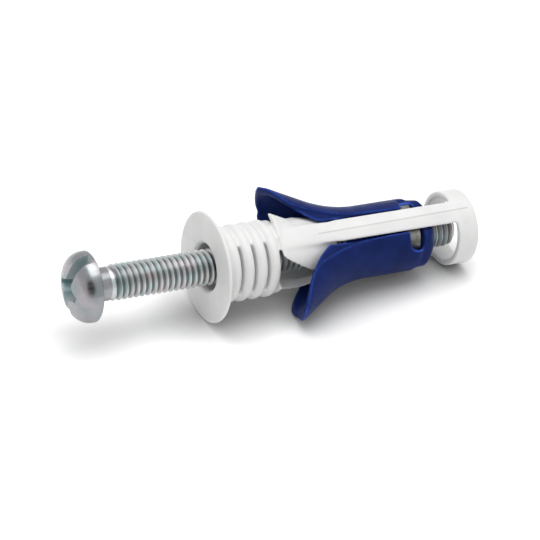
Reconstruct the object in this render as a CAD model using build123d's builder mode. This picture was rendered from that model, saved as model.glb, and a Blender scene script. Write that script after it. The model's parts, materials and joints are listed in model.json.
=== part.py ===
from build123d import *
import os
from math import atan, cos, radians, sin, sqrt

# Wall plug with screw: a hollow-wall anchor for board walls.
# A white plug body with ribs, two barbed wings and two arms carries a blue spreader
# with two splayed legs. The spreader traps a steel nut, and a pan head machine screw
# runs through the whole plug into that nut.
# Everything is drawn on one axis first: Z runs from the screw head to the end ring,
# Z = 0 is the flange's outer face, X points towards one arm and Y towards one leg.
# The last section lays the finished anchor down on its rims.
# Millimetres.

os.makedirs("parts", exist_ok=True)

# Machine screw, M6 x 65 with a pan head
shank_d = 5.9
neck_d = 5.4
neck_length = 2.4
screw_length = 65.0
tip_chamfer = 0.8
head_d = 11.4
head_height = 4.0
head_crown_r = 10.0
head_shoulder_r = 2.8
head_gap = 20.0  # from the flange face back to the underside of the head
slot_width = 2.0
slot_depth = 3.4
cross_tip_width = 1.2
cross_length = 5.8
cross_depth = 3.2
cross_taper = 8.0
recess_turn = -23.0  # the slot's direction, from the near arm

# Ribbed sleeve and flange of the plug body
bore_d = 7.6
mouth_bevel = 0.4
flange_d = 18.2
flange_rim = 0.5
flange_root = 1.0
rim_bevel = 0.2
sleeve_d = 11.4
rib_d = 12.5
rib_bevel = 0.5
rib_count = 4
rib_pitch = 2.32
rib_slot = 0.55
first_rib = 2.85  # middle of the first rib
web_d = 11.8
web_lap = 0.7

# Barbed wings behind the ribs
wing_gap = 0.45
wing_length = 10.6
wing_d = 12.3  # next to the ribs
wing_waist_at = 5.3
wing_waist_d = 11.4
wing_end_d = 9.5
wing_wall = 1.3
wing_slit = 0.6  # the notch's width at the wings' narrow end
barb_across = 12.8  # over both barbs' outer faces
barb_reach = 5.1  # from the axis to the barbs' points
barb_root_across = 8.8
barb_root_reach = 3.6
barb_thickness = 1.1
barb_round = 1.3

# Arms and end ring
arm_d = 12.4  # over both arms, and over the end ring
arm_thickness = 0.9
arm_width = 3.9
ring_start = 43.6
ring_length = 3.75
ring_thickness = 1.0
ring_bevel = 0.25

# Spreader: splayed legs on a hub that holds the nut
leg_d = 12.0
leg_wall = 1.05
leg_root = 33.2
leg_lap = 0.8
leg_bend_start = 28.0
leg_bend_r = 22.5
leg_splay = 31.0
leg_straight = 12.0  # what follows the bend, before the tongue shape cuts it
leg_edge_end = 19.7  # where the legs' long edges end and their tongues begin
leg_cut_middle = (6.3, 15.3)  # on the tongues' slanting side edges, from the axis and along it
leg_cut_end = (11.5, 13.0)
leg_front = 12.1  # leading corner of the tongue
leg_front_skew = 2.4
leg_front_round = 2.8
leg_back_round = 2.4
arm_clearance = 0.25
hub_step = 36.8
hub_end = 39.6
hub_across = 10.9
hub_end_bevel = 1.2
hub_bore_clearance = 0.3
window_start = 35.0
window_width = 8.6

# Nut, thin M6 hexagon
nut_across = 9.8
nut_height = 3.0
nut_start = 33.85
nut_chamfer = 0.3
nut_clearance = 0.05
nut_end_gap = 0.35
thread_clearance = 0.05

# Resting position
arm_lift = 63.5  # the near arm's angle above the horizontal

# Sizes that follow from the ones above
shank_r = shank_d / 2
crown_top = -head_gap - head_height
crown_edge = crown_top + head_crown_r - sqrt(head_crown_r**2 - (head_d / 2) ** 2)
bore_r = bore_d / 2
flange_r = flange_d / 2
rib_r = rib_d / 2
rib_width = rib_pitch - rib_slot
last_rib = first_rib + (rib_count - 1) * rib_pitch
wing_start = last_rib + rib_width / 2 + wing_gap
wing_waist = wing_start + wing_waist_at
wing_end = wing_start + wing_length
notch = barb_across / 2 - barb_thickness  # half the V notch's width at the barbs
arm_r = arm_d / 2
arm_inner_r = arm_r - arm_thickness
ring_end = ring_start + ring_length
leg_r = leg_d / 2
hub_flat = arm_inner_r - arm_clearance
leg_edge = arm_width / 2 + arm_clearance
nut_pocket = nut_height + nut_clearance + nut_end_gap
hex_corner = 1 / cos(radians(30))
span = 2 * flange_d  # wider than anything on the axis, for what cuts right across


# Plug body: one white nylon moulding

with BuildPart() as wings:
    # one round body that narrows away from the ribs
    with BuildSketch(Plane.XZ):
        with BuildLine():
            Polyline(
                (0, wing_start),
                (wing_d / 2, wing_start),
                (wing_waist_d / 2, wing_waist),
                (wing_end_d / 2, wing_end),
                (0, wing_end),
                close=True,
            )
        make_face()
    revolve(axis=Axis.Z)
    # square barbs that stand out of its far side next to the ribs
    for height, across, reach in (
        (wing_start, barb_across, barb_reach),
        (wing_waist, barb_root_across, barb_root_reach),
    ):
        with BuildSketch(Plane.XY.offset(height)) as barb:
            Rectangle(across, reach, align=(Align.CENTER, Align.MAX))
            fillet(barb.vertices().group_by(Axis.Y)[0], barb_round)
    loft(ruled=True)
    # hollow
    with BuildSketch(Plane.XZ):
        with BuildLine():
            Polyline(
                (0, wing_start),
                (wing_d / 2 - wing_wall, wing_start),
                (wing_waist_d / 2 - wing_wall, wing_waist),
                (wing_end_d / 2 - wing_wall, wing_end),
                (0, wing_end),
                close=True,
            )
        make_face()
    revolve(axis=Axis.Z, mode=Mode.SUBTRACT)
    # the V notch that parts them, open towards the ribs
    with BuildSketch(Plane.XZ):
        with BuildLine():
            Polyline(
                (-notch, wing_start),
                (notch, wing_start),
                (wing_slit / 2, wing_end),
                (-wing_slit / 2, wing_end),
                close=True,
            )
        make_face()
    extrude(amount=span, both=True, mode=Mode.SUBTRACT)

with BuildPart() as plug_body:
    # flange, sleeve and ribs
    with BuildSketch(Plane.XZ) as ribbed:
        with BuildLine():
            Polyline(
                (bore_r, 0),
                (flange_r, 0),
                (flange_r, flange_rim),
                (sleeve_d / 2, flange_root),
                (sleeve_d / 2, last_rib),
                (bore_r, last_rib),
                close=True,
            )
        make_face()
        for index in range(rib_count):
            with Locations((bore_r, first_rib + index * rib_pitch)):
                Rectangle(rib_r - bore_r, rib_width, align=(Align.MIN, Align.CENTER))
        mouth_corner = ribbed.vertices().group_by(Axis.Y)[0].sort_by(Axis.X)[0]
        rib_corners = ribbed.vertices().group_by(Axis.X)[-2]
        rim_corners = ribbed.vertices().group_by(Axis.X)[-1]
        chamfer(mouth_corner, mouth_bevel)
        chamfer(rib_corners, rib_bevel)
        chamfer(rim_corners, rim_bevel)
    revolve(axis=Axis.Z)

    # end ring, and the two arms that carry it
    with BuildSketch(Plane.XY.offset(ring_start)):
        Circle(arm_r)
        Circle(arm_r - ring_thickness, mode=Mode.SUBTRACT)
    extrude(amount=ring_length)
    ring_rims = plug_body.edges().filter_by(GeomType.CIRCLE).group_by(Axis.Z)[-1]
    chamfer(ring_rims, ring_bevel)
    with BuildSketch(Plane.XY.offset(wing_start)):
        Circle(arm_r)
        Rectangle(span, arm_width, mode=Mode.INTERSECT)
        Rectangle(2 * arm_inner_r, arm_width, mode=Mode.SUBTRACT)
    extrude(amount=ring_start + ring_length / 2 - wing_start)

    # slots between the ribs, in two opposite quarters
    for index in range(rib_count - 1):
        with BuildSketch(Plane.XY.offset(first_rib + index * rib_pitch + rib_width / 2)):
            Rectangle(span, span, align=(Align.MIN, Align.MIN))
            Rectangle(span, span, align=(Align.MAX, Align.MAX))
        extrude(amount=rib_slot, mode=Mode.SUBTRACT)

    # wings, and the webs that tie them to the last rib in the other two quarters
    add(wings.part)
    with BuildSketch(Plane.XY.offset(last_rib)):
        Circle(web_d / 2)
        Circle(bore_r, mode=Mode.SUBTRACT)
        Rectangle(span, span, align=(Align.MIN, Align.MIN), mode=Mode.SUBTRACT)
        Rectangle(span, span, align=(Align.MAX, Align.MAX), mode=Mode.SUBTRACT)
    extrude(amount=wing_start + web_lap - last_rib)

plug_body.part.label = "plug_body"


# Spreader: one blue nylon moulding

with BuildPart() as leg:
    # half a tube, swept along the axis and then outwards
    with BuildLine(Plane.YZ) as leg_path:
        straight = Line((0, leg_root + leg_lap), (0, leg_bend_start))
        bend = JernArc(straight @ 1, straight % 1, radius=leg_bend_r, arc_size=leg_splay)
        Line(bend @ 1, bend @ 1 + (bend % 1) * leg_straight)
    with BuildSketch(Plane.XY.offset(leg_root + leg_lap)):
        Circle(leg_r)
        Circle(leg_r - leg_wall, mode=Mode.SUBTRACT)
        Rectangle(span, leg_r, align=(Align.CENTER, Align.MIN), mode=Mode.INTERSECT)
    sweep(path=leg_path.wires()[0])
    # clear of the arms
    with BuildSketch(Plane.XZ):
        Rectangle(span, leg_root + leg_lap, align=(Align.CENTER, Align.MIN))
    extrude(amount=-leg_edge, mode=Mode.SUBTRACT)
    # cut away aslant towards the tip
    with BuildSketch(Plane.YZ):
        with BuildLine():
            slant = Spline((leg_edge, leg_edge_end), leg_cut_middle, leg_cut_end)
            Polyline(slant @ 1, (leg_cut_end[0], 0), (leg_edge, 0), slant @ 0)
        make_face()
    extrude(amount=span, both=True, mode=Mode.SUBTRACT)
    # tongue-shaped end, with its front edge a little askew
    with BuildSketch(Plane.XZ):
        with BuildLine():
            Polyline(
                (-leg_r, leg_root + leg_lap),
                (-leg_r, leg_front + leg_front_skew),
                (leg_r, leg_front),
                (leg_r, leg_root + leg_lap),
                close=True,
            )
        tongue = make_face()
        lead_corner = tongue.vertices().sort_by(Axis.Z)[0]
        back_corner = tongue.vertices().sort_by(Axis.Z)[1]
        fillet(lead_corner, leg_front_round)
        fillet(back_corner, leg_back_round)
    extrude(amount=-span, mode=Mode.INTERSECT)

with BuildPart() as spreader:
    # round hub at the roots of the legs
    with BuildSketch(Plane.XY.offset(leg_root)):
        Circle(leg_r)
    extrude(amount=hub_step - leg_root)
    # hexagonal end of the hub
    with BuildSketch(Plane.XY.offset(hub_step)):
        RegularPolygon(hub_across / 2 * hex_corner, 6, rotation=30)
    extrude(amount=hub_end - hub_step)
    # bevelled towards its end, and flat where it faces the arms
    with BuildSketch(Plane.XZ):
        with Locations((0, leg_root)):
            envelope = Rectangle(leg_r, hub_end - leg_root, align=(Align.MIN, Align.MIN))
        chamfer(envelope.vertices().group_by(Axis.Z)[-1].sort_by(Axis.X)[-1], hub_end_bevel)
    revolve(axis=Axis.Z, mode=Mode.INTERSECT)
    with BuildSketch(Plane.XY.offset(leg_root)):
        Rectangle(2 * hub_flat, span)
    extrude(amount=hub_end - leg_root, mode=Mode.INTERSECT)
    add(leg.part)
    mirror(leg.part, about=Plane.XZ)
    # screw passage
    with BuildSketch(Plane.XY.offset(leg_root)):
        Circle(shank_r + hub_bore_clearance)
    extrude(amount=hub_end - leg_root, mode=Mode.SUBTRACT)
    # nut pocket
    with BuildSketch(Plane.XY.offset(nut_start - nut_clearance)):
        RegularPolygon((nut_across / 2 + nut_clearance) * hex_corner, 6, rotation=30)
    extrude(amount=nut_pocket, mode=Mode.SUBTRACT)
    # windows on the arm sides, through which the nut shows
    with BuildSketch(Plane.XY.offset(window_start)):
        Rectangle(span, window_width)
    extrude(amount=nut_start - nut_clearance + nut_pocket - window_start, mode=Mode.SUBTRACT)

spreader.part.label = "spreader"


# Nut

with BuildPart() as nut:
    with BuildSketch(Plane.XY.offset(nut_start)):
        RegularPolygon(nut_across / 2 * hex_corner, 6, rotation=30)
    extrude(amount=nut_height)
    # the corners of both faces are turned off
    with BuildSketch(Plane.XZ):
        with BuildLine():
            Polyline(
                (0, nut_start),
                (nut_across / 2, nut_start),
                (nut_across / 2 * hex_corner, nut_start + nut_chamfer),
                (nut_across / 2 * hex_corner, nut_start + nut_height - nut_chamfer),
                (nut_across / 2, nut_start + nut_height),
                (0, nut_start + nut_height),
                close=True,
            )
        make_face()
    revolve(axis=Axis.Z, mode=Mode.INTERSECT)
    with BuildSketch(Plane.XY.offset(nut_start)):
        Circle(shank_r + thread_clearance)
    extrude(amount=nut_height, mode=Mode.SUBTRACT)

nut.part.label = "nut"


# Machine screw: plain shank at the thread's crest

with BuildPart() as machine_screw:
    with BuildSketch(Plane.XZ):
        with BuildLine():
            crown = RadiusArc((0, crown_top), (head_d / 2, crown_edge), -head_crown_r)
            Polyline(
                crown @ 1,
                (head_d / 2, -head_gap),
                (neck_d / 2, -head_gap),
                (neck_d / 2, -head_gap + neck_length),
                (shank_r, -head_gap + neck_length + (shank_d - neck_d) / 2),
                (shank_r, screw_length - head_gap - tip_chamfer),
                (shank_r - tip_chamfer, screw_length - head_gap),
                (0, screw_length - head_gap),
                crown @ 0,
            )
        screw_face = make_face()
        shoulder = screw_face.vertices().group_by(Axis.X)[-1].sort_by(Axis.Z)[0]
        fillet(shoulder, head_shoulder_r)
    revolve(axis=Axis.Z)
    # slot across the crown
    crown_plane = Plane(
        origin=(0, 0, crown_top),
        x_dir=(cos(radians(recess_turn)), sin(radians(recess_turn)), 0),
        z_dir=(0, 0, 1),
    )
    with BuildSketch(crown_plane):
        Rectangle(head_d, slot_width)
    extrude(amount=slot_depth, mode=Mode.SUBTRACT)
    # cross recess in the middle of the slot, its wings widening in curves towards the centre
    with BuildSketch(crown_plane):
        Rectangle(cross_length, cross_length)
        with GridLocations(cross_length, cross_length, 2, 2):
            Circle((cross_length - cross_tip_width) / 2, mode=Mode.SUBTRACT)
    extrude(amount=cross_depth, taper=cross_taper, mode=Mode.SUBTRACT)

machine_screw.part.label = "machine_screw"


# Resting position: the flange rim and the end ring's rim lie on the floor, so the
# axis slopes down towards the ring. The origin is on the floor under the middle.
slope = atan((flange_r - arm_r) / (ring_end - flange_rim))
axis_direction = Vector(cos(slope), 0, -sin(slope))
uphill = Vector(sin(slope), 0, cos(slope))
arm_direction = uphill * sin(radians(arm_lift)) - Vector(0, cos(radians(arm_lift)), 0)
lying = Plane(origin=(0, 0, 0), x_dir=arm_direction, z_dir=axis_direction)
pieces = [plug_body.part, spreader.part, nut.part, machine_screw.part]
for piece in pieces:
    piece.locate(lying.location)
extent = Compound(children=[Part() + piece for piece in pieces]).bounding_box()
floor_spot = Location((-extent.center().X, -extent.center().Y, -extent.min.Z))
for piece in pieces:
    piece.move(floor_spot)

export_step(plug_body.part, "parts/plug_body.step")
export_step(spreader.part, "parts/spreader.step")
export_step(nut.part, "parts/nut.step")
export_step(machine_screw.part, "parts/machine_screw.step")
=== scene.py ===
"""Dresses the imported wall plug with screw: thread, recessed head, finishes, light and camera."""

import json
import logging
from collections.abc import Callable, Sequence
from dataclasses import dataclass
from enum import Enum
from functools import partial
from itertools import product
from math import asin, cos, pi, radians, sin, tan

import bmesh
import bpy
from bmesh.types import BMEdge, BMesh, BMVert
from bpy.types import Material, Node, NodeSocket, Object, World
from mathutils import Matrix, Vector


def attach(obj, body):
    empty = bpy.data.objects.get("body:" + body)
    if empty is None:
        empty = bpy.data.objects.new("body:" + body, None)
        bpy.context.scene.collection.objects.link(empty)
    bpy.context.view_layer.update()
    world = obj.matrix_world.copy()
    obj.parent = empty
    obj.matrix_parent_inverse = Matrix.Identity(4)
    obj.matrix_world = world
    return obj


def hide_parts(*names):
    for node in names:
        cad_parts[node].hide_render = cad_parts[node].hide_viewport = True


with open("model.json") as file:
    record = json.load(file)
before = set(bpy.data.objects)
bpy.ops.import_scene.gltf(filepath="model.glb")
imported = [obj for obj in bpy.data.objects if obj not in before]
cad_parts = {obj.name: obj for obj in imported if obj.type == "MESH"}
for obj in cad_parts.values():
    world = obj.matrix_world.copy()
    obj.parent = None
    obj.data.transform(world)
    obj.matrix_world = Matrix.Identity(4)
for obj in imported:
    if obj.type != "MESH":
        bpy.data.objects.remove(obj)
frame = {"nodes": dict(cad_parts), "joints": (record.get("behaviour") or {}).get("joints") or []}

Pair = tuple[float, float]
Triple = tuple[float, float, float]

MILLIMETRE = 0.001
WELD = 0.002  # millimetres between vertices that become one
FINE_WELD = 0.001
NOISE_SPAN = (0.3, 0.7)  # the part of a noise's range that it mostly stays in
BOTH_SIDES = (1.0, -1.0)
log = logging.getLogger("wall_plug")


class Slot(Enum):
    """The record's material slots."""

    WHITE_NYLON = "white_nylon"
    BLUE_NYLON = "blue_nylon"
    ZINC_SCREW = "zinc_screw"


@dataclass(frozen=True)
class AnchorAxis:
    """The anchor's own axis as it lies on the floor, with one arm and one leg to either side of it.

    Stations along the axis are millimetres from the flange's outer face, the head's end negative.
    """

    flange_centre: Vector
    direction: Vector
    arm_lift_deg: float = 63.5

    @classmethod
    def from_joint(cls, name: str) -> "AnchorAxis":
        """Reads the axis from a packed hinge whose place is on the flange's outer face."""
        joint = next(j for j in frame["joints"] if j["name"] == name)
        return cls(Vector(joint["pos_m"]), Vector(joint["axis"]).normalized())

    @property
    def arm(self) -> Vector:
        """The direction of the near arm, square to the axis."""
        uphill = Vector((-self.direction.z, 0.0, self.direction.x))
        lift = radians(self.arm_lift_deg)
        return uphill * sin(lift) - Vector((0.0, 1.0, 0.0)) * cos(lift)

    @property
    def leg(self) -> Vector:
        """The direction of the lower leg, square to the axis and the arm."""
        return self.direction.cross(self.arm)

    def placing(self) -> Matrix:
        """Takes millimetres along the arm, the leg and the axis to metres in the row frame."""
        columns = (self.arm, self.leg, self.direction)
        turn = Matrix([[column[row] for column in columns] for row in range(3)])
        return Matrix.Translation(self.flange_centre) @ (turn * MILLIMETRE).to_4x4()


@dataclass(frozen=True)
class PhotoCamera:
    """A camera that sees the anchor as the photograph does.

    Lengths are in metres, picture places in pixels of the square picture.
    """

    picture: float = 540.0
    focal: float = 2773.9
    sensor_mm: float = 36.0
    flange_at: Pair = (204.8, 267.3)
    distance: float = 0.441
    axis_rise_deg: float = 9.5
    axis_recede_deg: float = 26.0
    arm_turn_deg: float = 25.0

    def _axes_in_picture(self) -> tuple[Vector, Vector, Vector]:
        """Gives the axis, arm and leg directions as right, down and away from the camera."""
        rise = radians(self.axis_rise_deg)
        recede = radians(self.axis_recede_deg)
        turn = radians(self.arm_turn_deg)
        along = Vector((cos(rise) * cos(recede), -sin(rise) * cos(recede), sin(recede)))
        facing = Vector((0.0, 0.0, -1.0))
        facing = (facing - along * facing.dot(along)).normalized()
        upward = along.cross(-facing)
        arm = facing * cos(turn) + upward * sin(turn)
        leg = along.cross(arm)
        return along, arm, leg

    def build(self, anchor: AnchorAxis) -> None:
        """Makes the scene's camera, placed against the axis that the photograph was read by."""
        along, arm, leg = self._axes_in_picture()
        seen = Matrix((along, arm, leg))
        lying = Matrix((anchor.direction, anchor.arm, anchor.leg))
        to_row_frame = lying.transposed() @ seen
        offset = Vector(
            (
                (self.flange_at[0] - self.picture / 2) / self.focal * self.distance,
                (self.flange_at[1] - self.picture / 2) / self.focal * self.distance,
                self.distance,
            )
        )
        place = anchor.flange_centre - to_row_frame @ offset
        turn = to_row_frame @ Matrix.Diagonal((1.0, -1.0, -1.0))

        data = bpy.data.cameras.new("photo_camera")
        data.sensor_width = self.sensor_mm
        data.lens = self.focal / self.picture * self.sensor_mm
        data.clip_start = 0.01
        data.clip_end = 5.0
        camera = bpy.data.objects.new("photo_camera", data)
        bpy.context.scene.collection.objects.link(camera)
        camera.matrix_world = Matrix.Translation(place) @ turn.to_4x4()
        bpy.context.scene.camera = camera


@dataclass(frozen=True)
class NodeChain:
    """Short calls for the nodes of one material or world."""

    owner: Material | World

    @property
    def shader(self) -> Node:
        """The material's Principled shader."""
        return self.owner.node_tree.nodes["Principled BSDF"]

    def feed(self, socket: NodeSocket, value: object) -> None:
        """Links an input to another node's output, or sets it to a plain value."""
        if isinstance(value, NodeSocket):
            self.owner.node_tree.links.new(value, socket)
        else:
            socket.default_value = value

    def fill(self, node: Node, **values: object) -> Node:
        """Sets a node's inputs and properties.

        Args:
            node: The node.
            values: Values or output sockets, by input name with spaces as underscores, or by property name.

        Returns:
            The node.
        """
        for name, value in values.items():
            socket = node.inputs.get(name.replace("_", " "))
            if socket is not None:
                self.feed(socket, value)
            else:
                setattr(node, name, value)
        return node

    def add(self, kind: str, **values: object) -> Node:
        """Adds a node of a kind and fills it."""
        return self.fill(self.owner.node_tree.nodes.new(kind), **values)

    def combine(self, kind: str, operation: str, *operands: object) -> NodeSocket:
        """Adds a maths node.

        Args:
            kind: "Math" for numbers, "VectorMath" for vectors and colours.
            operation: What the node does.
            operands: Values or output sockets, in the order of the node's inputs.

        Returns:
            The result.
        """
        node = self.add(f"ShaderNode{kind}", operation=operation)
        for socket, operand in zip([socket for socket in node.inputs if socket.enabled], operands):
            self.feed(socket, operand)
        return next(socket for socket in node.outputs if socket.enabled)

    def mixed(self, factor: object, first: object, second: object, data_type: str = "FLOAT") -> NodeSocket:
        """Blends from a first value or colour to a second."""
        node = self.add("ShaderNodeMix", data_type=data_type, Factor=factor, A=first, B=second)
        return node.outputs["Result"]

    def map_range(self, value: NodeSocket, span: Pair, to: Pair = (0, 1), way: str = "LINEAR") -> NodeSocket:
        """Stretches part of a value's range over another range.

        Args:
            value: The value.
            span: Where the part starts and ends.
            to: What those two become. The result stays between them.
            way: How it goes from the one to the other.

        Returns:
            The new value.
        """
        ends = {"From_Min": span[0], "From_Max": span[1], "To_Min": to[0], "To_Max": to[1]}
        return self.add("ShaderNodeMapRange", interpolation_type=way, Value=value, **ends).outputs["Result"]

    def place(self) -> NodeSocket:
        """Gives each point's place in the object's own frame, in metres."""
        return self.add("ShaderNodeTexCoord").outputs["Object"]

    def speckle(self, scale: float, detail: float, stretch: tuple = (1.0, 1.0, 1.0)) -> NodeSocket:
        """Adds a noise on the object's own coordinates.

        Args:
            scale: Cells per metre.
            detail: Layers of finer noise.
            stretch: Scale of the pattern along each axis.

        Returns:
            The noise's value.
        """
        mapping = self.add("ShaderNodeMapping", Vector=self.place(), Scale=stretch)
        noise = self.add("ShaderNodeTexNoise", Vector=mapping.outputs["Vector"], Scale=scale, Detail=detail)
        return noise.outputs["Fac"]

    def ramp(self, source: NodeSocket, low: Triple, high: Triple, span: Pair = NOISE_SPAN) -> NodeSocket:
        """Gives a colour that goes from low to high over a span of the source's range."""
        node = self.add("ShaderNodeValToRGB", Fac=source)
        for element, position, colour in zip(node.color_ramp.elements, span, (low, high)):
            element.position = position
            element.color = (*colour, 1.0)
        return node.outputs["Color"]

    def drifting(self, patches: NodeSocket, middle: float, drift: Pair) -> NodeSocket:
        """Lets a value go below and above its middle over the patches of a noise."""
        return self.map_range(patches, NOISE_SPAN, (middle + drift[0], middle + drift[1]))

    def distance_from(self, point: Vector, direction: Vector) -> NodeSocket:
        """Measures in metres how far each place is from a line, whose direction has length 1."""
        offset = self.combine("VectorMath", "SUBTRACT", self.place(), point)
        across = self.combine("VectorMath", "CROSS_PRODUCT", offset, direction)
        return self.combine("VectorMath", "LENGTH", across)

    def highlight_rim_mask(self, reach: float, span: Pair) -> NodeSocket:
        """Finds the shape's outer edges, where a painted highlight goes.

        Args:
            reach: How far into the plastic the search goes, in metres.
            span: How open the inside is where the mask starts and where it is full.

        Returns:
            A value that is 0 on flat faces and rises to 1 at an edge.
        """
        inside = self.add(
            "ShaderNodeAmbientOcclusion", Distance=reach, inside=True, only_local=True, samples=8
        )
        return self.map_range(inside.outputs["AO"], span)

    def surface_normal(self, height: NodeSocket, depth: float, edge: float) -> None:
        """Gives the shader soft edges and a fine relief.

        Args:
            height: The relief's value.
            depth: The relief's depth in metres.
            edge: Radius of the softened edges in metres.
        """
        soft = self.add("ShaderNodeBevel", Radius=edge, samples=6).outputs["Normal"]
        bump = self.add("ShaderNodeBump", Distance=depth, Strength=1.0, Height=height, Normal=soft)
        self.fill(self.shader, Normal=bump.outputs["Normal"])


def new_material(name: str) -> NodeChain:
    """Makes a material with a bare Principled shader and gives its node chain."""
    material = bpy.data.materials.new(name)
    material.use_nodes = True
    return NodeChain(material)


@dataclass(frozen=True)
class MouldedNylon:
    """Moulded nylon: faintly cloudy colour, fine matt grain, a little light under its skin and a painted
    highlight along its edges.
    """

    name: str
    shadow_colour: Triple
    light_colour: Triple
    # The colour of the painted highlight along the edges.
    rim_highlight_colour: Triple
    roughness: float
    depth_of_light: float
    gloss_drift: Pair = (-0.06, 0.08)
    shine: float = 0.5
    grain: float = 0.000006
    edge: float = 0.00022
    rim_reach: float = 0.00035
    rim_span: Pair = (0.93, 0.66)
    seam_half: Pair = (0.00007, 0.00017)
    seam_shade: float = 0.76
    seam_fades: float = 0.9

    def _with_seam_shade(self, chain: NodeChain, colour: NodeSocket, line: tuple) -> NodeSocket:
        """Darkens a colour a little along the mould's parting line: painted shade of the fine crease there.

        Args:
            chain: The material's nodes.
            colour: The colour.
            line: The line's middle, its direction and half its length, in metres.

        Returns:
            The colour with the line.
        """
        middle, direction, reach = line
        aside = chain.distance_from(middle, direction)
        shade = chain.map_range(aside, self.seam_half, (self.seam_shade, 1.0))
        away = chain.combine("VectorMath", "DISTANCE", chain.place(), middle)
        beyond = chain.map_range(away, (self.seam_fades * reach, reach))
        ended = chain.combine("Math", "MAXIMUM", shade, beyond)
        return chain.combine("VectorMath", "SCALE", colour, ended)

    def material(self, seams: tuple = ()) -> Material:
        """Builds the finish.

        Args:
            seams: The mould's parting lines: the middle, direction and half length of each, in metres.

        Returns:
            The material.
        """
        chain = new_material(self.name)
        tint = chain.ramp(chain.speckle(scale=260.0, detail=2.0), self.shadow_colour, self.light_colour)
        # Painted highlight: the edges take a brighter colour than the plastic's own tint.
        rim = chain.highlight_rim_mask(self.rim_reach, self.rim_span)
        colour = chain.mixed(rim, tint, (*self.rim_highlight_colour, 1.0), data_type="RGBA")
        # Painted shade along each parting line's crease.
        for line in seams:
            colour = self._with_seam_shade(chain, colour, line)

        sheen_patches = chain.speckle(scale=700.0, detail=3.0)
        chain.fill(
            chain.shader,
            Base_Color=colour,
            Roughness=chain.drifting(sheen_patches, self.roughness, self.gloss_drift),
            IOR=1.53,
            Specular_IOR_Level=self.shine,
            Subsurface_Weight=0.25,
            Subsurface_Radius=(1.0, 0.9, 0.8),
            Subsurface_Scale=self.depth_of_light,
        )
        chain.surface_normal(chain.speckle(scale=5200.0, detail=2.0), self.grain, self.edge)
        return chain.owner


@dataclass(frozen=True)
class ZincPlate:
    """Blue zinc plating: cool bright steel with patches of faint interference colour and fine wear, and on a
    thread painted shade in its grooves.
    """

    name: str
    cool: Triple
    warm: Triple
    roughness: float
    gloss_drift: Pair = (-0.06, 0.12)
    # Painted shade in a thread's grooves: how dark the roots get, and the radii over which it fades out.
    groove_shade: float = 1.0
    groove_span: Pair = (2.42, 2.70)
    pits: float = 0.000004
    edge: float = 0.00008

    def material(self, anchor: AnchorAxis) -> Material:
        """Builds the finish.

        Args:
            anchor: The axis that the thread's grooves go round.

        Returns:
            The material.
        """
        chain = new_material(self.name)
        colour = chain.ramp(chain.speckle(scale=420.0, detail=3.0), self.cool, self.warm, span=(0.35, 0.68))
        # Painted shade: the colour darkens towards the thread's roots.
        if self.groove_shade < 1.0:
            radius = chain.distance_from(anchor.flange_centre, anchor.direction)
            span = tuple(limit * MILLIMETRE for limit in self.groove_span)
            shade = chain.map_range(radius, span, (self.groove_shade, 1.0))
            colour = chain.combine("VectorMath", "SCALE", colour, shade)

        smears = chain.speckle(scale=900.0, detail=4.0, stretch=(0.4, 1.6, 1.6))
        gloss = chain.drifting(smears, self.roughness, self.gloss_drift)
        chain.fill(chain.shader, Base_Color=colour, Roughness=gloss, Metallic=1.0)
        chain.surface_normal(chain.speckle(scale=3600.0, detail=3.0), self.pits, self.edge)
        return chain.owner


def finish_mesh(bm: BMesh, name: str, placing: Matrix | None = None, crease_deg: float = 32.0) -> Object:
    """Turns a bmesh into an object.

    Args:
        bm: The shape, which is freed.
        name: The object's name.
        placing: From the anchor's millimetres to the row frame, for a shape that goes there.
        crease_deg: Edges with a sharper bend than this are kept sharp.

    Returns:
        The object, at the origin, with its place in its mesh.
    """
    bmesh.ops.recalc_face_normals(bm, faces=bm.faces)
    for face in bm.faces:
        face.smooth = True
    for edge in bm.edges:
        edge.smooth = len(edge.link_faces) == 2 and edge.calc_face_angle(0.0) < radians(crease_deg)
    if placing is not None:
        bm.transform(placing)
    mesh = bpy.data.meshes.new(name)
    bm.to_mesh(mesh)
    bm.free()
    piece = bpy.data.objects.new(name, mesh)
    bpy.context.scene.collection.objects.link(piece)
    return piece


def profile_chain(bm: BMesh, points: list[Pair]) -> list[BMEdge]:
    """Draws an open profile in the plane of the axis, by the radius and station of its points."""
    verts = [bm.verts.new((radius, 0.0, station)) for radius, station in points]
    return [bm.edges.new(pair) for pair in zip(verts, verts[1:])]


def of_kind(geometry: list, kind: type) -> list:
    """Picks the vertices, edges or faces out of what an operator gives back."""
    return [item for item in geometry if isinstance(item, kind)]


def close_rims(bm: BMesh) -> None:
    """Puts a face over every open rim."""
    bmesh.ops.holes_fill(bm, edges=[edge for edge in bm.edges if edge.is_boundary])


def extend_rim(bm: BMesh, rim: list[BMEdge], along: Vector) -> list[BMEdge]:
    """Draws a wall out of an open rim.

    Args:
        bm: The mesh.
        rim: The rim's edges.
        along: How far the wall goes and where to.

    Returns:
        The edges of the wall's far rim.
    """
    grown = bmesh.ops.extrude_edge_only(bm, edges=rim)["geom"]
    bmesh.ops.translate(bm, vec=along, verts=of_kind(grown, BMVert))
    return [edge for edge in of_kind(grown, BMEdge) if edge.is_boundary]


def extruded(outline: list, along: Vector) -> BMesh:
    """Makes the prism that a face with those corners leaves when it moves along."""
    bm = bmesh.new()
    face = bm.faces.new([bm.verts.new(corner) for corner in outline])
    grown = bmesh.ops.extrude_face_region(bm, geom=[face])["geom"]
    bmesh.ops.translate(bm, vec=along, verts=of_kind(grown, BMVert))
    return bm


def prism(outline: Sequence[Pair], low: float, high: float) -> BMesh:
    """Makes a prism along the axis, its outline drawn towards the arm and the leg, between two stations."""
    return extruded([(across, along, low) for across, along in outline], Vector((0.0, 0.0, high - low)))


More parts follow.
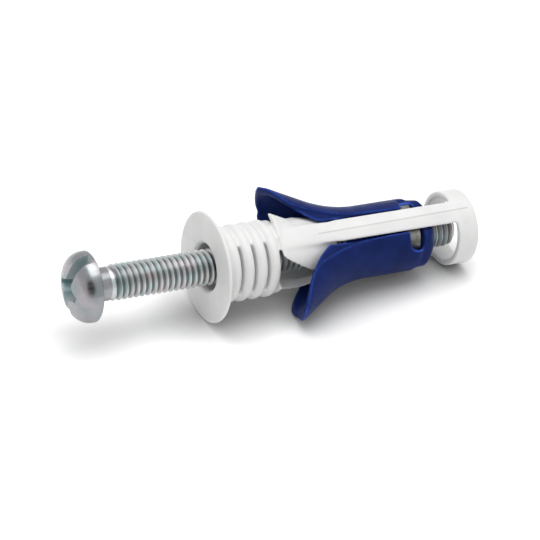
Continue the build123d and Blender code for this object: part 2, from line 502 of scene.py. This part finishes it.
def lofted(sections: list[list]) -> BMesh:
    """Makes a solid of closed outlines with equal numbers of points, each joined to the next."""
    bm = bmesh.new()
    loops = []
    for section in sections:
        verts = [bm.verts.new(point) for point in section]
        loops.append([bm.edges.new(pair) for pair in zip(verts, verts[1:] + verts[:1])])
    for first, second in zip(loops, loops[1:]):
        bmesh.ops.bridge_loops(bm, edges=first + second)
    close_rims(bm)
    return bm


def smooth(bm: BMesh, verts: list[BMVert]) -> None:
    """Moves vertices half of the way to the middle of their neighbours."""
    bmesh.ops.smooth_vert(bm, verts=verts, factor=0.5, use_axis_x=True, use_axis_y=True, use_axis_z=True)


def smooth_parts(piece: Object, placing: Matrix, rounds: list[Callable[[Vector], bool]]) -> None:
    """Smooths parts of a finished piece more than the rest.

    Args:
        piece: The piece in the row frame.
        placing: From the anchor's millimetres to the row frame.
        rounds: A test for each round, which tells by a vertex's first place whether it takes part.
    """
    bm = bmesh.new()
    bm.from_mesh(piece.data)
    to_anchor = placing.inverted()
    spots = {vert: to_anchor @ vert.co for vert in bm.verts}
    for takes_part in rounds:
        smooth(bm, [vert for vert, spot in spots.items() if takes_part(spot)])
    bm.to_mesh(piece.data)
    bm.free()


def smooth_line(points: Sequence[Pair], steps: int) -> list[Pair]:
    """Draws a smooth line through points, in a plane.

    Args:
        points: What it passes through.
        steps: Pieces between neighbours.

    Returns:
        Points along it.
    """
    ends = [Vector(point) for point in points]
    padded = [2 * ends[0] - ends[1], *ends, 2 * ends[-1] - ends[-2]]
    line = []
    for before, start, end, after in zip(padded, padded[1:], padded[2:], padded[3:]):
        for step in range(steps):
            share = step / steps
            bend = (2 * before - 5 * start + 4 * end - after) * share**2
            twist = (3 * start - before - 3 * end + after) * share**3
            line.append(tuple((2 * start + (end - before) * share + bend + twist) / 2))
    line.append(tuple(ends[-1]))
    return line


def subtract(solid: Object, tool: Object) -> None:
    """Takes a tool away from a solid with a modifier."""
    boolean = solid.modifiers.new(tool.name, "BOOLEAN")
    boolean.operation = "DIFFERENCE"
    boolean.solver = "EXACT"
    boolean.object = tool


def evaluated_bmesh(solid: Object) -> BMesh:
    """Gives an object's mesh with its modifiers applied."""
    evaluated = solid.evaluated_get(bpy.context.evaluated_depsgraph_get())
    bm = bmesh.new()
    bm.from_mesh(evaluated.to_mesh())
    evaluated.to_mesh_clear()
    return bm


def soft_copy(
    node: str,
    name: str,
    placing: Matrix,
    cutters: list[Object],
    grain_size: float,
    smoothing: int,
    added: Sequence[Object] = (),
) -> Object:
    """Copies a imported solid, cuts it and softens its edges as a mould does.

    Args:
        node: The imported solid.
        name: The new piece's name.
        placing: From the anchor's millimetres to the row frame.
        cutters: Solids to take away, in the anchor's millimetres.
        grain_size: Width of the new mesh's faces in millimetres.
        smoothing: Rounds of smoothing.
        added: Solids that become part of it after the cuts, in the anchor's millimetres.

    Returns:
        The new piece in the row frame.
    """
    bm = bmesh.new()
    bm.from_mesh(frame["nodes"][node].data)
    bmesh.ops.remove_doubles(bm, verts=bm.verts, dist=WELD * MILLIMETRE)
    bm.transform(placing.inverted())
    solid = finish_mesh(bm, f"{name}_solid")
    for tool in cutters:
        subtract(solid, tool)
    bm = evaluated_bmesh(solid)
    for piece in added:
        bm.from_mesh(piece.data)
    whole = finish_mesh(bm, f"{name}_whole")
    grain = whole.modifiers.new("grain", "REMESH")
    grain.mode = "VOXEL"
    grain.voxel_size = grain_size
    bm = evaluated_bmesh(whole)
    for used in (solid, whole):
        bpy.data.objects.remove(used)
    for _ in range(smoothing):
        smooth(bm, bm.verts)
    return finish_mesh(bm, name, placing, crease_deg=80.0)


@dataclass(frozen=True)
class MachineScrew:
    """Pan head machine screw with a rolled thread, a slot and a cross recess. Millimetres."""

    crest_r: float = 2.92
    root_r: float = 2.40
    pitch: float = 1.0
    crest_flat: float = 0.12
    root_flat: float = 0.14
    steps_per_turn: int = 36
    neck_r: float = 2.7
    neck_length: float = 2.7
    run_out: float = 1.4
    length: float = 65.0
    tip_chamfer: float = 0.8
    head_r: float = 5.7
    head_height: float = 4.0
    head_crown_r: float = 10.0
    head_shoulder_r: float = 2.8
    head_gap: float = 20.0
    crown_steps: int = 10
    shoulder_steps: int = 10
    head_segments: int = 96
    head_bevel: float = 0.15
    neck_fillet: float = 0.2
    slot_width: float = 2.0
    slot_depth: float = 3.4
    slot_reach: float = 2.4
    cross_tip_width: float = 1.2
    cross_length: float = 5.8
    cross_depth: float = 3.2
    cross_taper_deg: float = 8.0
    cross_arc_steps: int = 10
    recess_turn_deg: float = -23.0
    cutter_overshoot: float = 1.0
    recess_margin: float = 0.12

    @property
    def crown(self) -> float:
        """The station of the head's highest point."""
        return -self.head_gap - self.head_height

    @property
    def shoulder_starts(self) -> float:
        """The angle from the axis at which the crown passes into the shoulder."""
        return asin((self.head_r - self.head_shoulder_r) / (self.head_crown_r - self.head_shoulder_r))

    @property
    def shoulder_middle(self) -> Vector:
        """The radius and station that the shoulder is rounded about."""
        to_shoulder = self.head_crown_r - self.head_shoulder_r
        station = self.crown + self.head_crown_r - to_shoulder * cos(self.shoulder_starts)
        return Vector((self.head_r - self.head_shoulder_r, station))

    @property
    def thread_start(self) -> float:
        """The station where the neck ends."""
        return self.neck_length - self.head_gap

    @property
    def tip(self) -> float:
        """The station of the screw's end."""
        return self.length - self.head_gap

    def _thread(self) -> BMesh:
        """Spins one pitch of the thread's profile into a threaded shank, closed at both ends."""
        bm = bmesh.new()
        start = self.thread_start - self.pitch
        flank = (self.pitch - self.crest_flat - self.root_flat) / 2
        edges = profile_chain(
            bm,
            [
                (self.root_r, start),
                (self.crest_r, start + flank),
                (self.crest_r, start + flank + self.crest_flat),
                (self.root_r, start + 2 * flank + self.crest_flat),
                (self.root_r, start + self.pitch),
            ],
        )
        turns = int(self.tip - start) + 2
        bmesh.ops.spin(
            bm,
            geom=edges + bm.verts[:],
            cent=(0.0, 0.0, 0.0),
            axis=(0.0, 0.0, 1.0),
            dvec=(0.0, 0.0, self.pitch / self.steps_per_turn),
            angle=2 * pi * turns,
            steps=self.steps_per_turn * turns,
        )
        bmesh.ops.remove_doubles(bm, verts=bm.verts, dist=WELD)
        for station, outward in ((self.thread_start, -1.0), (self.tip, 1.0)):
            bmesh.ops.bisect_plane(
                bm,
                geom=bm.verts[:] + bm.edges[:] + bm.faces[:],
                dist=0.0001,
                plane_co=(0.0, 0.0, station),
                plane_no=(0.0, 0.0, outward),
                clear_outer=True,
            )
        close_rims(bm)
        for vert in bm.verts:
            radius = vert.co.xy.length
            if radius < self.root_r / 2:
                continue
            share = min(1.0, max(0.0, (vert.co.z - self.thread_start) / self.run_out))
            faded = self.neck_r + (radius - self.neck_r) * share * share * (3 - 2 * share)
            limit = self.crest_r - max(0.0, self.tip_chamfer - (self.tip - vert.co.z))
            vert.co.xy *= min(faded, limit) / radius
        return bm

    def _head(self) -> BMesh:
        """Spins the outline of the head and neck, without the slot and recess."""
        bm = bmesh.new()
        meet = self.shoulder_starts
        crown_middle = self.crown + self.head_crown_r
        shoulder_middle = self.shoulder_middle
        crown = [
            (self.head_crown_r * sin(angle), crown_middle - self.head_crown_r * cos(angle))
            for angle in (meet * step / self.crown_steps for step in range(self.crown_steps))
        ]
        shoulder = [
            (
                shoulder_middle.x + self.head_shoulder_r * sin(angle),
                shoulder_middle.y - self.head_shoulder_r * cos(angle),
            )
            for angle in (
                meet + (pi / 2 - meet) * step / self.shoulder_steps for step in range(self.shoulder_steps + 1)
            )
        ]
        outline = [
            *crown,
            *shoulder,
            (self.head_r, -self.head_gap - self.head_bevel),
            (self.head_r - self.head_bevel, -self.head_gap),
            (self.neck_r + self.neck_fillet, -self.head_gap),
            (self.neck_r, -self.head_gap + self.neck_fillet),
            (self.neck_r, self.thread_start),
            (self.root_r, self.thread_start + self.neck_r - self.root_r),
            (0.0, self.thread_start + self.neck_r - self.root_r),
        ]
        edges = profile_chain(bm, outline)
        bmesh.ops.spin(
            bm,
            geom=edges + bm.verts[:],
            cent=(0.0, 0.0, 0.0),
            axis=(0.0, 0.0, 1.0),
            angle=2 * pi,
            steps=self.head_segments,
            use_merge=True,
        )
        bmesh.ops.remove_doubles(bm, verts=bm.verts, dist=FINE_WELD)
        return bm

    def _below_crown(self, radius: float, station: float) -> float:
        """Tells how deep a point lies under the uncut head, 0 or less for its surface and underside."""
        from_shoulder = Vector((radius, station)) - self.shoulder_middle
        if station > -self.head_gap - self.recess_margin:
            return 0.0
        if from_shoulder.y > 0.0:
            return self.head_r - radius
        if from_shoulder.x > -from_shoulder.y * tan(self.shoulder_starts):
            return self.head_shoulder_r - from_shoulder.length
        return self.head_crown_r - Vector((radius, station - self.crown - self.head_crown_r)).length

    def _slot_cutter(self) -> BMesh:
        """Makes the solid of the straight cut right across the crown."""
        bm = bmesh.new()
        bmesh.ops.create_cube(bm, size=1.0)
        depth = self.slot_depth + self.cutter_overshoot
        bmesh.ops.scale(bm, vec=(self.slot_reach * self.head_r, self.slot_width, depth), verts=bm.verts)
        middle = self.crown + self.slot_depth - depth / 2
        bmesh.ops.translate(bm, vec=(0.0, 0.0, middle), verts=bm.verts)
        return bm

    def _star_outline(self, below: float) -> list[Triple]:
        """Gives the cross recess's outline at one depth: a square less a circle on each corner.

        Args:
            below: Depth under the crown.

        Returns:
            Its points in order.
        """
        lean = sin(radians(self.cross_taper_deg)) / cos(radians(self.cross_taper_deg)) * below
        corner = self.cross_length / 2
        reach = corner - lean
        radius = (self.cross_length - self.cross_tip_width) / 2 + lean
        first = asin(lean / radius)
        points = []
        for quarter in range(4):
            turn = Matrix.Rotation(quarter * pi / 2, 3, "Z")
            for step in range(self.cross_arc_steps + 1):
                share = step / self.cross_arc_steps
                angle = pi * 1.5 - first - (pi / 2 - 2 * first) * share
                across = min(corner + radius * cos(angle), reach)
                along = min(corner + radius * sin(angle), reach)
                spot = Vector((across, along, self.crown + below))
                points.append(tuple(turn @ spot))
        return points

    def _cross_cutter(self) -> BMesh:
        """Makes the solid of the cross recess, narrowing with depth."""
        return lofted([self._star_outline(below) for below in (-self.cutter_overshoot, self.cross_depth)])

    def build(self, placing: Matrix) -> list[Object]:
        """Builds the recessed head and the threaded shank in the row frame."""
        head = finish_mesh(self._head(), "screw_head")
        cutters = []
        recess_turn = Matrix.Rotation(radians(self.recess_turn_deg), 4, "Z")
        for label, cut in {"slot_cut": self._slot_cutter(), "cross_cut": self._cross_cutter()}.items():
            cutter = finish_mesh(cut, label, recess_turn)
            cutters.append(cutter)
            subtract(head, cutter)
        bm = evaluated_bmesh(head)
        for cutter in [*cutters, head]:
            bpy.data.objects.remove(cutter)
        bmesh.ops.remove_doubles(bm, verts=bm.verts, dist=WELD)
        # Faces in the slot and recess take the second finish, which is painted lighter: painted light.
        for face in bm.faces:
            middle = face.calc_center_median()
            face.material_index = int(self._below_crown(middle.xy.length, middle.z) > self.recess_margin)
        recessed = finish_mesh(bm, "recessed_head", placing)
        shank = finish_mesh(self._thread(), "threaded_shank", placing, crease_deg=25.0)
        return [recessed, shank]


@dataclass(frozen=True)
class Spreader:
    """Blue moulding whose legs' long edges sweep back from the arms, with softened rims. Millimetres."""

    edge_line: tuple = (
        (2.2, 30.4),
        (2.35, 28.0),
        (2.75, 24.6),
        (3.7, 20.6),
        (6.3, 15.3),
        (11.5, 13.0),
        (12.6, 12.4),
    )
    edge_steps: int = 6
    cutter_half: float = 9.0
    bend_start: float = 28.0
    bend_r: float = 22.5
    splay_deg: float = 31.0
    leg_r: float = 6.0
    leg_start: float = 34.0
    leg_reach: float = 12.0
    step_depth: float = 0.5
    core_segments: int = 72
    bend_steps: int = 14
    tip_stations: Pair = (13.86, 12.74)
    tip_half: float = 2.8
    tip_round: float = 1.3
    tip_steps: int = 8
    tip_overshoot: float = 2.0
    tip_cut_start: float = -4.0
    tip_cut_length: float = 7.0
    shelf: tuple[float, float, float, float] = (4.97, 2.2, 33.0, 34.62)
    shelf_ends: float = 4.5
    shelf_steps: int = 6
    shelf_back: Pair = (0.4, 0.5)
    curtain: tuple = (
        (4.97, -2.4),
        (5.2, -2.4),
        (4.7, -3.3),
        (3.9, -4.2),
        (3.0, -4.6),
        (3.0, -4.05),
        (4.97, -2.9),
    )
    curtain_stations: Pair = (34.9, 37.35)
    # Inner fins: sheets put in the gap between arm and leg, where there is only shade, hiding the thread
    # there.
    gap_shade_fin: tuple = ((2.95, 1.5), (4.6, 1.5), (4.6, 2.2), (5.2, 2.2), (5.2, 2.9), (2.95, 2.9))
    gap_shade_fin_stations: Pair = (23.5, 33.4)
    window: tuple = (
        (0.0, 34.62),
        (3.9, 34.62),
        (4.3, 34.75),
        (4.6, 35.1),
        (4.75, 35.6),
        (4.78, 36.1),
        (4.7, 36.6),
        (4.45, 37.0),
        (4.1, 37.25),
        (0.0, 37.25),
    )
    window_reach: Pair = (4.92, 7.0)
    window_deep: Pair = (3.0, 2.0)
    extra_rounding: tuple = ((36.3, 60.0, 14), (0.0, 17.5, 12))
    rounding_shrink: float = 0.05
    rounded_beyond_r: float = 4.3
    grain_size: float = 0.17
    smoothing: int = 5

    @property
    def onward(self) -> Vector:
        """The direction of the lower leg past its bend."""
        return Vector((0.0, sin(radians(self.splay_deg)), -cos(radians(self.splay_deg))))

    def _shelf_outline(self) -> list[Pair]:
        """Draws the outline of the leg's wall where it reaches on to the nut's window."""
        inner, start, *_ = self.shelf
        stop = self.shelf_ends
        back, short = self.shelf_back
        first = asin(start / self.leg_r)
        last = asin(stop / self.leg_r)
        angles = [first + step * (last - first) / self.shelf_steps for step in range(self.shelf_steps + 1)]
        arc = [(self.leg_r * cos(angle), self.leg_r * sin(angle)) for angle in angles]
        return [(inner, start), *arc, (arc[-1][0] - back, stop), (inner - back, stop - short)]

    def _added(self) -> list[Object]:
        """Makes the solids that the plain one lacks: wall and screen at the window, and inner fins, sheets
        that stand in for the shade in the gap under the arms.
        """
        pieces = []
        for arm, leg in product(BOTH_SIDES, repeat=2):
            # The fins stand in for shade in the gap under the arms.
            walls = [prism(self._shelf_outline(), *self.shelf[2:]), prism(self.gap_shade_fin, *self.gap_shade_fin_stations)]
            if arm == leg:
                walls.append(prism(self.curtain, *self.curtain_stations))
            for bm in walls:
                bmesh.ops.scale(bm, vec=(arm, leg, 1.0), verts=bm.verts)
                pieces.append(finish_mesh(bm, "wall"))
        return pieces

    def _window_cutter(self, side: float) -> BMesh:
        """Makes the prism that rounds and widens the nut's window.

        Args:
            side: 1 for the near arm's lower side, -1 for the far arm's upper side.

        Returns:
            The cut as a solid.
        """
        near, far = self.window_reach
        deep_beyond, deep_to = self.window_deep
        outline = [(near, across, station) for across, station in self.window]
        bm = extruded(outline, Vector((far - near, 0.0, 0.0)))
        for vert in bm.verts:
            if vert.co.x < far and vert.co.y > deep_beyond:
                vert.co.x = deep_to
        bmesh.ops.scale(bm, vec=(side, side, 1.0), verts=bm.verts)
        return bm

    def _edge_cutter(self) -> BMesh:
        """Makes the solid that trims the long edges of both legs."""
        side = smooth_line(self.edge_line, self.edge_steps)
        across_tip = side[-1][0]
        outline = [*side, (across_tip, 0.0), (-across_tip, 0.0)]
        outline += [(-across, station) for across, station in reversed(side)]
        corners = [(-self.cutter_half, across, station) for across, station in outline]
        return extruded(corners, Vector((2 * self.cutter_half, 0.0, 0.0)))

    def _leg_core(self, leg: float) -> BMesh:
        """Sweeps the round bar that stays under the step in a leg's outer face, 1 for the lower leg."""
        bm = bmesh.new()
        ring = bmesh.ops.create_circle(bm, segments=self.core_segments, radius=self.leg_r - self.step_depth)
        bmesh.ops.translate(bm, vec=(0.0, 0.0, self.leg_start), verts=ring["verts"])
        rim = extend_rim(bm, bm.edges[:], Vector((0.0, 0.0, self.bend_start - self.leg_start)))
        bent = bmesh.ops.spin(
            bm,
            geom=rim + list(dict.fromkeys(vert for edge in rim for vert in edge.verts)),
            cent=(0.0, self.bend_r, self.bend_start),
            axis=(1.0, 0.0, 0.0),
            angle=radians(self.splay_deg),
            steps=self.bend_steps,
        )
        extend_rim(bm, of_kind(bent["geom_last"], BMEdge), self.onward * self.leg_reach)
        bmesh.ops.remove_doubles(bm, verts=bm.verts, dist=FINE_WELD)
        close_rims(bm)
        bmesh.ops.scale(bm, vec=(1.0, leg, 1.0), verts=bm.verts)
        return bm

    def _tip_cutter(self, side: float, leg: float) -> BMesh:
        """Makes the prism that rounds one corner of a leg's tip.

        Args:
            side: 1 towards the near arm, -1 away from it.
            leg: 1 for the lower leg, -1 for the upper.

        Returns:
            The cut as a solid.
        """
        splay = radians(self.splay_deg)
        outward = Vector((0.0, cos(splay), sin(splay)))
        bend_end = Vector((0.0, self.bend_r * (1 - cos(splay)), self.bend_start - self.bend_r * sin(splay)))
        surface = bend_end + outward * self.leg_r
        tip = surface + self.onward * ((surface.z - self.tip_stations[side > 0]) / cos(splay))
        middle = (self.tip_half - self.tip_round, -self.tip_round)
        far = self.tip_overshoot
        outline = [(middle[0], far), (self.tip_half + far, far), (self.tip_half + far, middle[1])]
        outline += [
            (middle[0] + self.tip_round * cos(angle), middle[1] + self.tip_round * sin(angle))
            for angle in (pi / 2 * step / self.tip_steps for step in range(self.tip_steps + 1))
        ]
        corners = [
            tip + Vector((side * across, 0.0, 0.0)) + self.onward * along + outward * self.tip_cut_start
            for across, along in outline
        ]
        bm = extruded(corners, outward * self.tip_cut_length)
        bmesh.ops.scale(bm, vec=(1.0, leg, 1.0), verts=bm.verts)
        return bm

    def _in_end(self, low: float, high: float, spot: Vector) -> bool:
        """Tells whether a spot lies on the outside, between two stations."""
        return low < spot.z < high and spot.xy.length > self.rounded_beyond_r

    def build(self, placing: Matrix) -> Object:
        """Builds the spreader in the row frame, its hub's end and its legs' tips rounder than the rest."""
        edge_cut = finish_mesh(self._edge_cutter(), "edge_cut")
        cores = [finish_mesh(self._leg_core(leg), "leg_core") for leg in BOTH_SIDES]
        for core in cores:
            subtract(edge_cut, core)
        cuts = [edge_cut]
        cuts += [finish_mesh(self._window_cutter(side), "window_cut") for side in BOTH_SIDES]
        for leg, side in product(BOTH_SIDES, repeat=2):
            cuts.append(finish_mesh(self._tip_cutter(side, leg), "tip_cut"))
        added = self._added()
        moulding = soft_copy(
            "spreader", "blue_spreader", placing, cuts, self.grain_size, self.smoothing, added
        )
        for used in [*cuts, *cores, *added]:
            bpy.data.objects.remove(used)
        rounds = [
            partial(self._in_end, low + self.rounding_shrink * turn, high - self.rounding_shrink * turn)
            for low, high, count in self.extra_rounding
            for turn in range(count)
        ]
        smooth_parts(moulding, placing, rounds)
        return moulding


@dataclass(frozen=True)
class PlugBody:
    """White moulding with ridged arms that flow out of the wings, and softened rims. Millimetres."""

    ridge_r: float = 6.2
    upper_edge: Pair = (5.60, -1.95)
    lower_edge: Pair = (5.80, 1.95)
    edge_overhang: float = 0.8
    outside: float = 8.0
    ridge_stations: tuple = ((15.5, 0.35, 0.45), (21.0, 0.3, 0.0), (43.2, 0.0, 0.0), (46.2, -0.05, 0.45))
    seam_under: float = 0.05
    seam_share: float = 0.64
    blend_low: Triple = (4.2, -3.4, 12.4)
    blend_high: Triple = (7.0, 3.0, 22.0)
    blend_rounds: int = 24
    blend_shrink: float = 0.06
    grain_size: float = 0.19
    smoothing: int = 3

    def seams(self, placing: Matrix) -> tuple:
        """Finds the parting lines, one along the ridge of each arm.

        Args:
            placing: From the anchor's millimetres to the row frame.

        Returns:
            The middle, direction and half length of each, in metres.
        """
        lines = []
        _, (low, low_y, _), (high, high_y, _), _ = self.ridge_stations
        for arm in BOTH_SIDES:
            start = placing @ Vector((arm * (self.ridge_r - self.seam_under), low_y, low))
            end = placing @ Vector((arm * (self.ridge_r - self.seam_under), high_y, high))
            run = end - start
            lines.append(((start + end) / 2, run.normalized(), run.length * self.seam_share))
        return tuple(lines)

    def _ridge_cutter(self, arm: float) -> BMesh:
        """Makes the solid that leaves a low ridge along an arm's outer face, 1 for the near arm."""
        over = self.edge_overhang
        sections = []
        for station, ridge_y, lift in self.ridge_stations:
            upper_slope = (self.ridge_r - self.upper_edge[0]) / (ridge_y - self.upper_edge[1])
            lower_slope = (self.ridge_r - self.lower_edge[0]) / (self.lower_edge[1] - ridge_y)
            outline = [
                (self.ridge_r, ridge_y),
                (self.upper_edge[0] - upper_slope * over, self.upper_edge[1] - over),
                (self.outside, self.upper_edge[1] - over),
                (self.outside, self.lower_edge[1] + over),
                (self.lower_edge[0] - lower_slope * over, self.lower_edge[1] + over),
            ]
            sections.append([(arm * (across + lift), along, station) for across, along in outline])
        return lofted(sections)

    def _in_blend(self, inset: float, spot: Vector) -> bool:
        """Tells whether a spot lies where an arm comes out of its wing, some way inside that place."""
        place = (abs(spot.x), spot.y, spot.z)
        return all(
            low + inset < value < high - inset
            for low, value, high in zip(self.blend_low, place, self.blend_high)
        )

    def build(self, placing: Matrix) -> Object:
        """Builds the plug body in the row frame, its arms blended into the wings."""
        cuts = [finish_mesh(self._ridge_cutter(arm), "ridge_cut") for arm in BOTH_SIDES]
        moulding = soft_copy("plug_body", "white_plug", placing, cuts, self.grain_size, self.smoothing)
        for cut in cuts:
            bpy.data.objects.remove(cut)
        rounds = [partial(self._in_blend, turn * self.blend_shrink) for turn in range(self.blend_rounds)]
        smooth_parts(moulding, placing, rounds)
        return moulding


@dataclass(frozen=True)
class Studio:
    """Pale floor with a painted contact shadow, soft world light and one large lamp above. Metres and watts.
    """

    floor_half: float = 1.6
    floor_albedo: float = 0.9
    floor_mottle: float = 0.005
    floor_glow: float = 0.26
    shadow_reach: float = 0.010
    shadow_span: Pair = (0.05, 0.9)
    shadow_deepest: float = 0.08
    bounce_shade: float = 0.5
    world_strength: float = 0.6
    gloss_strength: float = 0.8
    flag_strength: float = 0.06
    flag_toward_deg: Pair = (-130.0, 27.0)
    flag_half_deg: Pair = (12.0, 34.0)
    lamp_height: float = 0.5
    lamp_width: float = 0.40
    lamp_power: float = 1.45

    def _floor_material(self) -> Material:
        """Makes the finish of a matt floor that shows near white, keeps the shadow and darkens it further
        near the object: painted shadow.
        """
        chain = new_material("pale_floor")
        dark = (self.floor_albedo - self.floor_mottle,) * 3
        pale = (self.floor_albedo + self.floor_mottle,) * 3
        tint = chain.ramp(chain.speckle(scale=40.0, detail=2.0), dark, pale)

        path = chain.add("ShaderNodeLightPath").outputs
        seen = chain.combine("Math", "MAXIMUM", path["Is Camera Ray"], path["Is Glossy Ray"])
        seen_through = chain.combine("Math", "MAXIMUM", seen, path["Is Transmission Ray"])
        # Painted shadow: near the object the floor's colour and glow darken, fully as seen and more weakly
        # for bounced light.
        openness = chain.add("ShaderNodeAmbientOcclusion", Distance=self.shadow_reach, samples=16)
        painted_shadow_depth = chain.map_range(openness.outputs["AO"], self.shadow_span, (self.shadow_deepest, 1.0))
        for_bounces = chain.combine("Math", "MAXIMUM", seen_through, self.bounce_shade)
        painted_contact_shadow = chain.mixed(for_bounces, 1.0, painted_shadow_depth)
        shaded = chain.combine("VectorMath", "SCALE", tint, painted_contact_shadow)
        chain.fill(chain.shader, Base_Color=shaded, Roughness=0.9, Specular_IOR_Level=0.1)

        strength = chain.combine("Math", "MULTIPLY", seen_through, self.floor_glow)
        kept_dark = chain.combine("Math", "MULTIPLY", strength, painted_contact_shadow)
        glow = chain.add("ShaderNodeEmission", Strength=kept_dark)
        both = chain.add("ShaderNodeAddShader")
        chain.feed(both.inputs[0], chain.shader.outputs["BSDF"])
        chain.feed(both.inputs[1], glow.outputs["Emission"])
        chain.fill(chain.owner.node_tree.nodes["Material Output"], Surface=both.outputs["Shader"])
        return chain.owner

    def _world(self) -> None:
        """Makes a plain white world, dimmer as a light, in which gloss sees one dark flag."""
        world = bpy.data.worlds.new("studio_world")
        world.use_nodes = True
        chain = NodeChain(world)
        azimuth, elevation = (radians(angle) for angle in self.flag_toward_deg)
        toward = (cos(elevation) * cos(azimuth), cos(elevation) * sin(azimuth), sin(elevation))
        direction = chain.add("ShaderNodeTexCoord").outputs["Generated"]
        aim = chain.combine("VectorMath", "DOT_PRODUCT", direction, toward)
        full, edge = (cos(radians(angle)) for angle in self.flag_half_deg)
        flag = chain.map_range(aim, (edge, full), (self.gloss_strength, self.flag_strength), "SMOOTHSTEP")

        path = chain.add("ShaderNodeLightPath").outputs
        seen_by_gloss = chain.mixed(path["Is Glossy Ray"], self.world_strength, flag)
        seen_by_camera = chain.mixed(path["Is Camera Ray"], seen_by_gloss, 1.0)
        background = world.node_tree.nodes["Background"]
        chain.fill(background, Color=(1.0, 1.0, 1.0, 1.0), Strength=seen_by_camera)
        bpy.context.scene.world = world

    def build(self) -> None:
        """Makes the floor, the world and the lamp, which looks straight down."""
        bm = bmesh.new()
        bmesh.ops.create_grid(bm, x_segments=1, y_segments=1, size=self.floor_half)
        floor = finish_mesh(bm, "floor")
        floor.data.materials.append(self._floor_material())

        self._world()
        data = bpy.data.lights.new("top_softbox", "AREA")
        data.size = self.lamp_width
        data.energy = self.lamp_power
        lamp = bpy.data.objects.new("top_softbox", data)
        lamp.location = (0.0, 0.0, self.lamp_height)
        bpy.context.scene.collection.objects.link(lamp)


# The rim colours are painted highlights along the mouldings' edges.
WHITE_NYLON = MouldedNylon(
    "white_nylon",
    shadow_colour=(0.78, 0.78, 0.775),
    light_colour=(0.84, 0.84, 0.835),
    rim_highlight_colour=(0.87, 0.87, 0.865),
    roughness=0.42,
    depth_of_light=0.0006,
)
BLUE_NYLON = MouldedNylon(
    "blue_nylon",
    shadow_colour=(0.007, 0.016, 0.092),
    light_colour=(0.011, 0.025, 0.135),
    rim_highlight_colour=(0.030, 0.085, 0.46),
    roughness=0.36,
    depth_of_light=0.0002,
    shine=0.05,
)
# One zinc plating in copies of different brightness: the recess's and the thread's are painted lighter than
# the head's, as painted light.
HEAD_ZINC = ZincPlate("zinc_screw_head", cool=(0.27, 0.30, 0.31), warm=(0.36, 0.34, 0.36), roughness=0.24)
LIT_RECESS_ZINC = ZincPlate("zinc_screw_recess_painted_light", cool=(0.42, 0.56, 0.57), warm=(0.66, 0.66, 0.68), roughness=0.55)
LIT_THREAD_ZINC = ZincPlate(
    "zinc_screw_thread_painted_light", cool=(0.50, 0.59, 0.59), warm=(0.66, 0.61, 0.62), roughness=0.34, groove_shade=0.36
)
# Painted much darker than the screw's plating: painted shade of the nut inside the hub's window.
NUT_ZINC = ZincPlate("zinc_nut", cool=(0.10, 0.10, 0.09), warm=(0.30, 0.30, 0.28), roughness=0.42)


def dress_node(name: str, material: Material) -> None:
    """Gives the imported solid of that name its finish."""
    slots = frame["nodes"][name].material_slots
    for slot in slots:
        slot.material = material
    log.info("%s takes %s on %d slots", name, material.name, len(slots))


def main() -> None:
    """Builds the camera, the screw, the mouldings, the finishes and the studio."""
    logging.basicConfig(level=logging.INFO, format="%(message)s")
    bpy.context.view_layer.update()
    bpy.context.scene.view_settings.view_transform = "Standard"

    anchor = AnchorAxis.from_joint("screw_turn")
    PhotoCamera().build(anchor)

    # The recess and thread finishes are lighter copies of the head's plating: painted light.
    plates = ((HEAD_ZINC, LIT_RECESS_ZINC), (LIT_THREAD_ZINC,))
    for piece, finishes in zip(MachineScrew().build(anchor.placing()), plates):
        for finish in finishes:
            piece.data.materials.append(finish.material(anchor))
        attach(piece, "screw")
        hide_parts("machine_screw")
        log.info("%s has %d faces", piece.name, len(piece.data.polygons))

    body = PlugBody()
    plug = body.build(anchor.placing())
    plug.data.materials.append(WHITE_NYLON.material(body.seams(anchor.placing())))
    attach(plug, "plug")
    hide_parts("plug_body")
    spreader = Spreader().build(anchor.placing())
    spreader.data.materials.append(BLUE_NYLON.material())
    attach(spreader, "spreader_with_nut")
    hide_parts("spreader")
    for moulding in (plug, spreader):
        log.info("%s has %d faces", moulding.name, len(moulding.data.polygons))
    dress_node("nut", NUT_ZINC.material(anchor))
    Studio().build()


if __name__ == "__main__":
    main()
